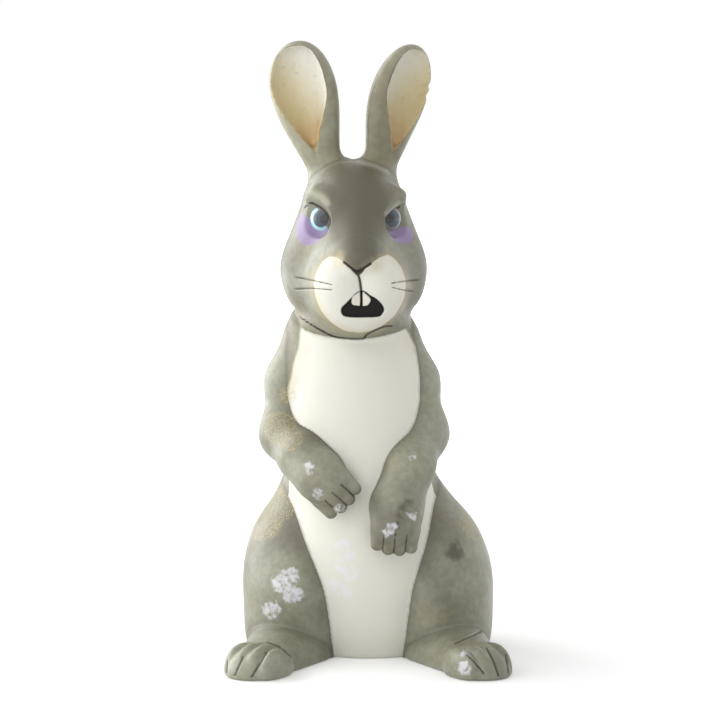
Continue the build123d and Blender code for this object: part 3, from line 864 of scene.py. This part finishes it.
def material_of(slot):
    """The slot's finish, made once: coats of paint over sprayed paint, or gloss paint under a clear coat for the
    eyes."""
    name = slot + " finish"
    if name in bpy.data.materials:
        return bpy.data.materials[name]
    colours = bpy.context.scene.rabbit_colours
    material = bpy.data.materials.new(name)
    material.use_nodes = True
    wires = Wires(material.node_tree)
    shader = wires.nodes["Principled BSDF"]
    if slot == "eye_glass":
        tone = opaque(colours.corner)
        for mark, paint, width in coats[slot]:
            edge = use_group(
                wires, edge_group(), Mark=wires.mark(mark), Width=width, Wobble=eye_wobble, Grain=eye_grain)
            tone = wires.mix(edge["Mask"], tone, opaque(getattr(colours, paint)))
        wires.put(tone, shader.inputs["Base Color"])
        wires.put(wires.range(wires.noise(400.0), 0.3, 0.7, 0.24, 0.34), shader.inputs["Roughness"])
        shader.inputs["Coat Weight"].default_value = 0.15
        shader.inputs["Coat Roughness"].default_value = 0.12
        return material
    base = use_group(wires, sprayed_group(), Paint=opaque(colours.grey), Shade=opaque(colours.dusk),
                     Warm=opaque(colours.olive), Specks=0.5)
    tone, roughness, gloss = base["Colour"], base["Roughness"], plain_gloss
    for mark, paint, width, wobble, grain, share, finish in coats[slot]:
        edge = use_group(wires, edge_group(), Mark=wires.mark(mark), Width=width, Wobble=wobble, Grain=grain)
        mask = wires.math("MULTIPLY", edge["Mask"], share)
        tone = wires.mix(mask, tone, opaque(getattr(colours, paint)))
        roughness = wires.blend(mask, roughness, finish)
        if mark in ("mouth", "tooth", "line"):
            gloss = wires.blend(mask, gloss, plain_gloss if mark == "tooth" else dull_gloss)
    wires.put(gloss, shader.inputs["Specular IOR Level"])
    wires.put(tone, shader.inputs["Base Color"])
    wires.put(roughness, shader.inputs["Roughness"])
    bump = wires.add("ShaderNodeBump")
    bump.inputs["Strength"].default_value = 0.35
    bump.inputs["Distance"].default_value = 0.00025
    wires.put(base["Height"], bump.inputs["Height"])
    wires.put(bump.outputs[0], shader.inputs["Normal"])
    return material


def stage_material(name, colour, lift):
    """Pale floor: a matt coat with a little light of its own for the camera and for reflections."""
    material = bpy.data.materials.new(name)
    material.use_nodes = True
    wires = Wires(material.node_tree)
    shader = wires.nodes["Principled BSDF"]
    shader.inputs["Base Color"].default_value = opaque(colour)
    shader.inputs["Roughness"].default_value = 0.8
    path = wires.add("ShaderNodeLightPath").outputs
    seen = wires.math("MAXIMUM", path["Is Camera Ray"], path["Is Glossy Ray"])
    far = wires.add("ShaderNodeVectorMath", operation="LENGTH")
    wires.put(wires.add("ShaderNodeTexCoord").outputs["Object"], far.inputs[0])
    glow = wires.range(far.outputs["Value"], 0.25, 1.6, lift, 1.0)
    shader.inputs["Emission Color"].default_value = (1, 1, 1, 1)
    wires.put(wires.math("MULTIPLY", seen, glow), shader.inputs["Emission Strength"])
    return material


# Sizes and colours that a user would change

def colour(name, description, default):
    """A colour that the panel offers."""
    return bpy.props.FloatVectorProperty(name=name, description=description, default=default, subtype="COLOR",
                                         min=0.0, max=1.0)


class RabbitSizes(bpy.types.PropertyGroup):
    """Depths of what is pressed into the skins, and the floor's side"""
    mouth_depth: bpy.props.FloatProperty(
        name="Mouth depth", description="How deep the mouth is pressed in", default=0.0013, unit="LENGTH")
    stroke_depth: bpy.props.FloatProperty(
        name="Groove depth", description="How deep the tooled lines are", default=0.0004, unit="LENGTH")
    chip_depth: bpy.props.FloatProperty(
        name="Chip depth", description="How deep the ear's rim is chipped", default=0.0008, unit="LENGTH")
    floor_size: bpy.props.FloatProperty(
        name="Floor", description="Side of the floor", default=12.0, unit="LENGTH")


class RabbitColours(bpy.types.PropertyGroup):
    """Colours of the paints and of the eyes"""
    grey: colour("Grey", "Sprayed grey-olive paint", (0.28, 0.283, 0.208))
    olive: colour("Olive", "Warm drift in the grey", (0.30, 0.265, 0.16))
    # Dusk is dark grey paint on the forehead, nose and ear rims, and the colour of painted shade in the creases and on
    # the left cheek
    dusk: colour("Dusk", "Darker grey of the forehead, nose and ear rims, and painted shade in the creases and on the left cheek", (0.110, 0.104, 0.066))
    # Pale is the colour of painted highlights on the ridges of the brows, the nose and the ear seam
    pale: colour("Pale", "Painted highlights on the ridges of the brows, nose and ear seam", (0.50, 0.49, 0.38))
    cream: colour("Cream", "Bib, muzzle and insides of the ears", (0.75, 0.745, 0.66))
    tan: colour("Tan", "Stains on the cream", (0.54, 0.43, 0.20))
    amber: colour("Amber", "Spray at the foot of the ear's dish", (0.42, 0.24, 0.09))
    lilac: colour("Lilac", "Patch under each eye", (0.25, 0.17, 0.38))
    ink: colour("Ink", "Brushed lines and the mouth", (0.016, 0.015, 0.013))
    tooth: colour("Tooth", "The two teeth", (0.74, 0.72, 0.64))
    # Flake is the pale of glossy flakes and drips, and of the highlights painted on them
    flake: colour("Flake", "Glossy pale flakes", (0.80, 0.79, 0.86))
    iris: colour("Iris", "Slate blue of the eye", (0.045, 0.07, 0.10))
    # Glint is the colour of the painted reflection beside the iris
    glint: colour("Glint", "Pale blue crescent beside the iris", (0.42, 0.72, 0.80))
    corner: colour("Eye corner", "Grey-brown white of the eye", (0.25, 0.22, 0.19))


# Pieces

home = np.zeros(3)


def find_home():
    """Middle of the hind feet across, and the tail's back, place the maker's frame in the row's frame."""
    across = (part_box("hind_foot_left")[1].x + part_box("hind_foot_right")[0].x) / 2
    home[:] = np.array((across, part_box("tail")[1].y - tail_back * mm, 0)) / mm


def crease_shade_mark(both, points):
    """Closeness to a seam, for painted shade: 0.5 mm less the distance between own field and the neighbour's."""
    return 0.5 - np.abs(both(points)[1])


class RABBIT_OT_torso(bpy.types.Operator):
    """Body: rays from an upright line meet a stack of ovals that flows into the limbs"""
    bl_idname = "rabbit.torso"
    bl_label = "Torso"

    def execute(self, context):
        others = [(haunch_field(side), haunch_soft, True) for side in sides.values()]
        others += [(foreleg_field(side), shoulder_soft, True) for side in sides.values()]
        others += [(tail_field, 2.0, True), (head_field, 1.0, False)]
        both = joined(torso_field, others, seam_side)
        field = sunk(both)
        path = ((0.2, 14.0, 14), (-1.0, 10, 50), (-4.0, 4, 85), (-6.4, 0, 128))
        points, _, rows, columns = cast_round(
            lambda p: cut(field(p), -base_hollow(p), 0.5), path, (0, -1, 0), rows=(60, 190, 40), columns=320,
            reach=70.0, crowd=0.3)
        spots, front = photo_place(points), points[:, 1] < -2
        marks = {"crease": crease_shade_mark(both, points), "bib": area_mark(spots, bib_outline, front),
                 "line": strokes_mark(spots, (seam_stroke,), front),
                 "drip": spots_mark(spots, drip_and_highlight_spots, front, drip_and_highlight_most),
                 "sand": spots_mark(spots, sand_spots, front, sand_most)}
        marks["stain"] = np.where(marks["bib"] > -0.5, 1.5 - marks["bib"], unmarked)
        dress(closed_mesh("body", points, rows, columns), "torso_shell", "painted_body", marks)
        return {"FINISHED"}


class RABBIT_OT_haunches(bpy.types.Operator):
    """Thighs: rays from an upright line meet a stack of ovals that leans on the body"""
    bl_idname = "rabbit.haunches"
    bl_label = "Haunches"

    def execute(self, context):
        for name, side in sides.items():
            both = joined(haunch_field(side), [(torso_field, haunch_soft, True), (foot_field(side), 2.5, True)])
            path = ((side * 28.5, 10, 12), (side * 28, 10, 30), (side * 23, 11, 50))
            points, _, rows, columns = cast_round(
                sunk(both), path, (side, 0, 0), rows=(50, 90, 60), columns=240, reach=50.0)
            spots, front = photo_place(points), points[:, 1] < 12
            marks = {"crease": crease_shade_mark(both, points),
                     "flake": spots_mark(spots, haunch_spots, front, haunch_most),
                     "smudge": spots_mark(spots, smudge_spots, front),
                     "sand": spots_mark(spots, sand_spots, front, sand_most)}
            piece = closed_mesh("thigh_" + name, points, rows, columns)
            dress(piece, "haunch_" + name, "painted_body", marks)
        return {"FINISHED"}


class RABBIT_OT_feet(bpy.types.Operator):
    """Hind feet: rays from heel to toes meet a flattened pad with four toes"""
    bl_idname = "rabbit.feet"
    bl_label = "Hind feet"

    def execute(self, context):
        for name, side in sides.items():
            both = joined(foot_field(side), [(haunch_field(side), 2.5, True), (torso_field, 2.5, True)])
            path = ((side * 33, -12, 4.5), (side * 38, -27, 4.5), (side * 42, -38, 4.5))
            points, rays, rows, columns = cast_round(
                sunk(both), path, (0, 0, 1), rows=(40, 90, 130), columns=220, reach=30.0)
            spots, front = photo_place(points), points[:, 2] > 1.5
            # The line mark inks the tooled grooves dark as painted shade.
            marks = {"crease": crease_shade_mark(both, points), "line": strokes_mark(spots, tooled_groove_and_shade_strokes, front),
                     "flake": spots_mark(spots, haunch_spots, front, foot_most)}
            press = ease(marks["line"], -0.4, 0.3) * context.scene.rabbit_sizes.stroke_depth / mm
            points -= rays * press[:, None]
            piece = closed_mesh("foot_" + name, points, rows, columns)
            dress(piece, "hind_foot_" + name, "painted_body", marks)
        return {"FINISHED"}


class RABBIT_OT_forelegs(bpy.types.Operator):
    """Forelegs: rays from a bent line meet rods that taper from joint to joint and end in four toes"""
    bl_idname = "rabbit.forelegs"
    bl_label = "Forelegs"

    def execute(self, context):
        for name, side in sides.items():
            both = joined(foreleg_field(side), [(torso_field, shoulder_soft, True)])
            path = foreleg_tables[side][:, :3]
            points, _, rows, columns = cast_round(
                sunk(both), path, (side, -1, 0), rows=(40, 150, 100), columns=200, reach=24.0)
            spots, front = photo_place(points), points[:, 1] < 2
            middle, axes = paw_axes(side)
            across, out, along = ((points - middle) @ axes).T
            # Dark lines along the grooves between the toes are painted shade.
            share = across / paw_toe_pitch
            groove_shade = paw_groove_half - np.abs(share - np.clip(np.round(share), -1, 1)) * paw_toe_pitch
            groove_shade = np.minimum(groove_shade, np.minimum(along - paw_groove_along, out - paw_groove_out))
            marks = {"crease": crease_shade_mark(both, points), "line": groove_shade,
                     "flake": spots_mark(spots, paw_spots, front, foot_most),
                     "smudge": spots_mark(spots, smudge_spots, front),
                     "sand": spots_mark(spots, sand_spots, front, sand_most)}
            piece = closed_mesh("arm_" + name, points, rows, columns)
            dress(piece, "foreleg_" + name, "painted_body", marks)
        return {"FINISHED"}


class RABBIT_OT_head(bpy.types.Operator):
    """Head: rays from an upright line meet a union of eggs, with the mouth and the brushed lines pressed in"""
    bl_idname = "rabbit.head"
    bl_label = "Head"

    def execute(self, context):
        sizes = context.scene.rabbit_sizes
        others = [(ear_field(side), ear_soft, True) for side in sides.values()] + [(torso_field, 1.0, False)]
        both = joined(head_field, others, lambda p: -seam_side(p))
        path = out_of_head(np.array(((0, -7.0, 136), (0, -8.0, 150), (0, -4.0, 172))))
        points, rays, rows, columns = cast_round(
            sunk(both), path, (0, -1, 0), rows=(40, 190, 40), columns=350, reach=48.0, crowd=0.62)
        spots, place = photo_place(points), head_frame(points)
        front, face = place[:, 1] < -2, place[:, 1] < -12
        # The crease marks are painted shade at the seams, the pale marks painted highlights on the ridges.
        marks = {"crease": crease_shade_mark(both, points) - 0.6, "muzzle": area_mark(spots, muzzle_outline, face),
                 "mouth": area_mark(spots, mouth_outline, face), "tooth": areas_mark(spots, tooth_outlines, face),
                 "lilac": areas_mark(spots, lilac_outlines, front), "nose": area_mark(spots, nose_outline, face),
                 "line": strokes_mark(spots, head_strokes, front),
                 "pale": strokes_mark(spots, ridge_highlight_strokes, front)}
        edge = np.maximum(1.0 - np.abs(marks["muzzle"]), spots_mark(spots, muzzle_stains, face))
        marks["stain"] = np.where(marks["muzzle"] > unmarked, edge, unmarked)
        x, y, z = place.T
        brow = forehead_reach - np.hypot(x / forehead_wide, (z - forehead_height) / forehead_tall)
        bridge = bridge_reach - np.hypot(x, np.maximum(np.abs(z - bridge_height) - bridge_half, 0))
        # The forehead and the bridge are sprayed darker grey; the cheek spots are painted shade.
        cheek = spots_mark(spots, cheek_shade_spots, front, cheek_shade_most)
        marks["dusk"] = np.maximum(np.maximum(brow, bridge) - np.maximum(y + 4, 0), cheek)
        teeth = 1 - tooth_stand * ease(marks["tooth"], -0.2, 0.2)
        press = ease(marks["mouth"], -0.3, 0.5) * teeth * sizes.mouth_depth
        press = np.maximum(press, ease(marks["line"], -0.5, 0.2) * sizes.stroke_depth * (marks["mouth"] < 0))
        points -= rays * (press / mm)[:, None]
        marks["line"] = np.maximum(marks["line"], strokes_mark(spots, (seam_stroke,), front))
        dress(closed_mesh("head", points, rows, columns), "head_shell", "painted_head", marks)
        return {"FINISHED"}


class RABBIT_OT_ears(bpy.types.Operator):
    """Ears: rings round a leaf of ovals with a dish cut in its front, settled where the leaf meets the head"""
    bl_idname = "rabbit.ears"
    bl_label = "Ears"

    def execute(self, context):
        for name, side in sides.items():
            table, top = ear_tables[side], ear_top(side)
            both = joined(ear_field(side), [(head_field, ear_soft, True)])
            rows, columns = ear_counts
            rings = settle(ear_rings(side, rows, columns), sunk(both))
            points = np.concatenate((rings, rings[:columns].mean(0)[None], rings[-columns:].mean(0)[None]))
            z = points[:, 2]
            x, y = ear_local(points, table)
            share = ear_width(z, table, top)
            leaf = oval(x, y, table["half"] * share, table["deep"] * share)
            middle, back, wide, deep = dish_oval(z, table, side, top)
            point = point_inset * (1 - ease(z, dish_foot, dish_foot + point_tall))
            ends = np.minimum(top - dish_top - z, z - dish_foot)
            dish = np.minimum(0.3 - point - oval(x - middle, y - back, wide, deep), ends)
            marks = {"dish": np.minimum(dish, 0.1 - leaf)}
            low, inside = stain_height - z, marks["dish"] > -0.6
            marks["stain"] = np.where(inside, low + stain_rise + stain_slant * side * x, unmarked)
            marks["amber"] = np.where(inside, low + amber_rise + amber_slant * side * x, unmarked)
            marks["rim"] = np.where(z < top - 2, rim_half - np.abs(marks["dish"] + rim_place), unmarked)
            if side > 0:
                rim = ease(x, chip_inner, chip_outer)
                inwards = turned(table["turn"]) @ np.array((1.0, 0, 0))
                for height, size in chips:
                    bite = np.exp(-(((z - height) / size) ** 2)) * rim
                    points = points - inwards * (bite * context.scene.rabbit_sizes.chip_depth / mm)[:, None]
            piece = closed_mesh("listener_" + name, points, rows, columns)
            dress(piece, "ear_" + name, "painted_ear", marks)
        return {"FINISHED"}


class RABBIT_OT_eyes(bpy.types.Operator):
    """Eyes: a cap of a ball with a flat back, painted in the eye's own frame"""
    bl_idname = "rabbit.eyes"
    bl_label = "Eyes"

    def execute(self, context):
        rows, flat_rows, columns = 70, 8, 120
        edge = math.acos(1 - eye_cap / eye_ball)
        polar = np.concatenate((np.linspace(0, edge, rows + 1)[1:], np.full(flat_rows, edge)))[:, None]
        draw = np.concatenate((np.ones(rows), np.linspace(0.9, 0.1, flat_rows)))[:, None]
        turn = (np.arange(columns) * 2 * np.pi / columns)[None]
        u, v = (eye_ball * np.sin(polar) * draw * wave(turn) for wave in (np.cos, np.sin))
        w = eye_ball * np.cos(polar) + 0 * u
        poles = ((0, 0, eye_ball), (0, 0, eye_ball * math.cos(edge)))
        local = np.concatenate((np.stack((u, v, w), axis=-1).reshape(-1, 3), poles))
        q = eye_front - eye_out * eye_ball + local @ lid_axes().T
        across, up = (q - eye_front) @ np.cross((0, 0, 1.0), eye_out), q[:, 2] - eye_front[2]
        iris = np.hypot(across + iris_across, up - iris_up)
        # The pale ring beside the iris is a painted reflection.
        ring = np.minimum(ring_outer - np.hypot(across + ring_across, up), iris - ring_inner)
        glint = np.minimum(ring, across + glint_across - glint_slant * up)
        marks = {"iris": iris_radius - iris, "corner": across - corner_across,
                 "pupil": pupil_radius - np.hypot(across + pupil_across, up - iris_up)}
        for name, side in sides.items():
            marks["glint"] = glint - (left_ring_less if side > 0 else 0)
            points = out_of_head(q * np.array((side, 1, 1)))
            piece = closed_mesh("gaze_" + name, points, rows + flat_rows, columns)
            dress(piece, "eye_" + name, "eye_glass", marks)
        return {"FINISHED"}


class RABBIT_OT_tail(bpy.types.Operator):
    """Scut: rays from its middle meet an egg that flows into the back"""
    bl_idname = "rabbit.tail"
    bl_label = "Tail"

    def execute(self, context):
        both = joined(tail_field, [(torso_field, 2.0, True)])
        path = ((0.2, 47.5, 12), (0.2, 47.5, 16))
        points, _, rows, columns = cast_round(
            sunk(both), path, (0, 1, 0), rows=(50, 20, 50), columns=140, reach=16.0)
        marks = {"crease": crease_shade_mark(both, points)}
        dress(closed_mesh("scut", points, rows, columns), "tail", "painted_body", marks)
        return {"FINISHED"}


class RABBIT_OT_stage(bpy.types.Operator):
    """Pale floor, white world, soft lamps and the camera"""
    bl_idname = "rabbit.stage"
    bl_label = "Stage"

    def execute(self, context):
        scene = context.scene
        floor_tone, floor_lift, world_light, world_seen = (0.80, 0.80, 0.80), 0.28, 0.58, 0.42
        half = scene.rabbit_sizes.floor_size / 2
        corners = [(-half, -half, 0), (half, -half, 0), (half, half, 0), (-half, half, 0)]
        mesh = bpy.data.meshes.new("floor")
        mesh.from_pydata(corners, [], [(0, 1, 2, 3)])
        mesh.materials.append(stage_material("pale floor", floor_tone, floor_lift))
        floor = bpy.data.objects.new("floor", mesh)
        scene.collection.objects.link(floor)
        world = bpy.data.worlds.new("studio")
        world.use_nodes = True
        wires = Wires(world.node_tree)
        path = wires.add("ShaderNodeLightPath").outputs
        seen = wires.math("MAXIMUM", path["Is Camera Ray"], path["Is Transmission Ray"])
        seen = wires.math("MAXIMUM", seen, path["Is Glossy Ray"])
        wires.put(wires.math("ADD", world_light, wires.math("MULTIPLY", seen, world_seen)),
                  wires.nodes["Background"].inputs["Strength"])
        wires.nodes["Background"].inputs["Color"].default_value = (1, 1, 1, 1)
        scene.world = world
        # Name, place, side and power of each lamp
        lamps = (("key", (-0.75, -0.9, 0.6), 1.5, 7.6), ("fill", (0.3, -1.1, 0.3), 1.5, 1.0),
                 ("rim_right", (-0.8, 0.35, 0.45), 1.1, 11.5), ("rim_left", (0.8, 0.35, 0.45), 1.1, 1.6))
        target = np.array((0, 0, 0.12))
        for name, place, size, power in lamps:
            lamp = bpy.data.lights.new(name, "AREA")
            lamp.size, lamp.energy = size, power
            lamp_object = bpy.data.objects.new(name, lamp)
            lamp_object.location = place
            aim = Vector(target - np.array(place))
            lamp_object.rotation_euler = aim.to_track_quat("-Z", "Y").to_euler()
            scene.collection.objects.link(lamp_object)
        camera = bpy.data.cameras.new("photo")
        camera.sensor_width = 36.0
        camera.lens = focal_pixels / photo_pixels * camera.sensor_width
        camera.clip_end = 50.0
        eye = bpy.data.objects.new("photo", camera)
        eye.location = (camera_place + home) * mm
        eye.rotation_euler = (math.radians(90 - camera_pitch), 0, 0)
        scene.collection.objects.link(eye)
        scene.camera = eye
        scene.view_settings.view_transform = "Standard"
        return {"FINISHED"}


class RABBIT_PT_panel(bpy.types.Panel):
    """Lists the rabbit's pieces, sizes and colours"""
    bl_idname = "RABBIT_PT_panel"
    bl_label = "Ceramic rabbit"
    bl_space_type = "VIEW_3D"
    bl_region_type = "UI"
    bl_category = "Rabbit"

    def draw(self, context):
        for operator in operators:
            self.layout.operator(operator.bl_idname)
        for group in (context.scene.rabbit_sizes, context.scene.rabbit_colours):
            for name in group.bl_rna.properties.keys():
                if name not in ("rna_type", "name"):
                    self.layout.prop(group, name)


operators = (RABBIT_OT_stage, RABBIT_OT_torso, RABBIT_OT_haunches, RABBIT_OT_feet, RABBIT_OT_forelegs,
             RABBIT_OT_head, RABBIT_OT_ears, RABBIT_OT_eyes, RABBIT_OT_tail)
classes = (RabbitSizes, RabbitColours, *operators, RABBIT_PT_panel)


def register():
    for item in classes:
        bpy.utils.register_class(item)
    bpy.types.Scene.rabbit_sizes = bpy.props.PointerProperty(type=RabbitSizes)
    bpy.types.Scene.rabbit_colours = bpy.props.PointerProperty(type=RabbitColours)


def unregister():
    del bpy.types.Scene.rabbit_colours
    del bpy.types.Scene.rabbit_sizes
    for item in reversed(classes):
        bpy.utils.unregister_class(item)


def main():
    register()
    find_home()
    bpy.ops.rabbit.stage()
    bpy.ops.rabbit.torso()
    bpy.ops.rabbit.haunches()
    bpy.ops.rabbit.feet()
    bpy.ops.rabbit.forelegs()
    bpy.ops.rabbit.head()
    bpy.ops.rabbit.ears()
    bpy.ops.rabbit.eyes()
    bpy.ops.rabbit.tail()


if __name__ == "__main__":
    main()
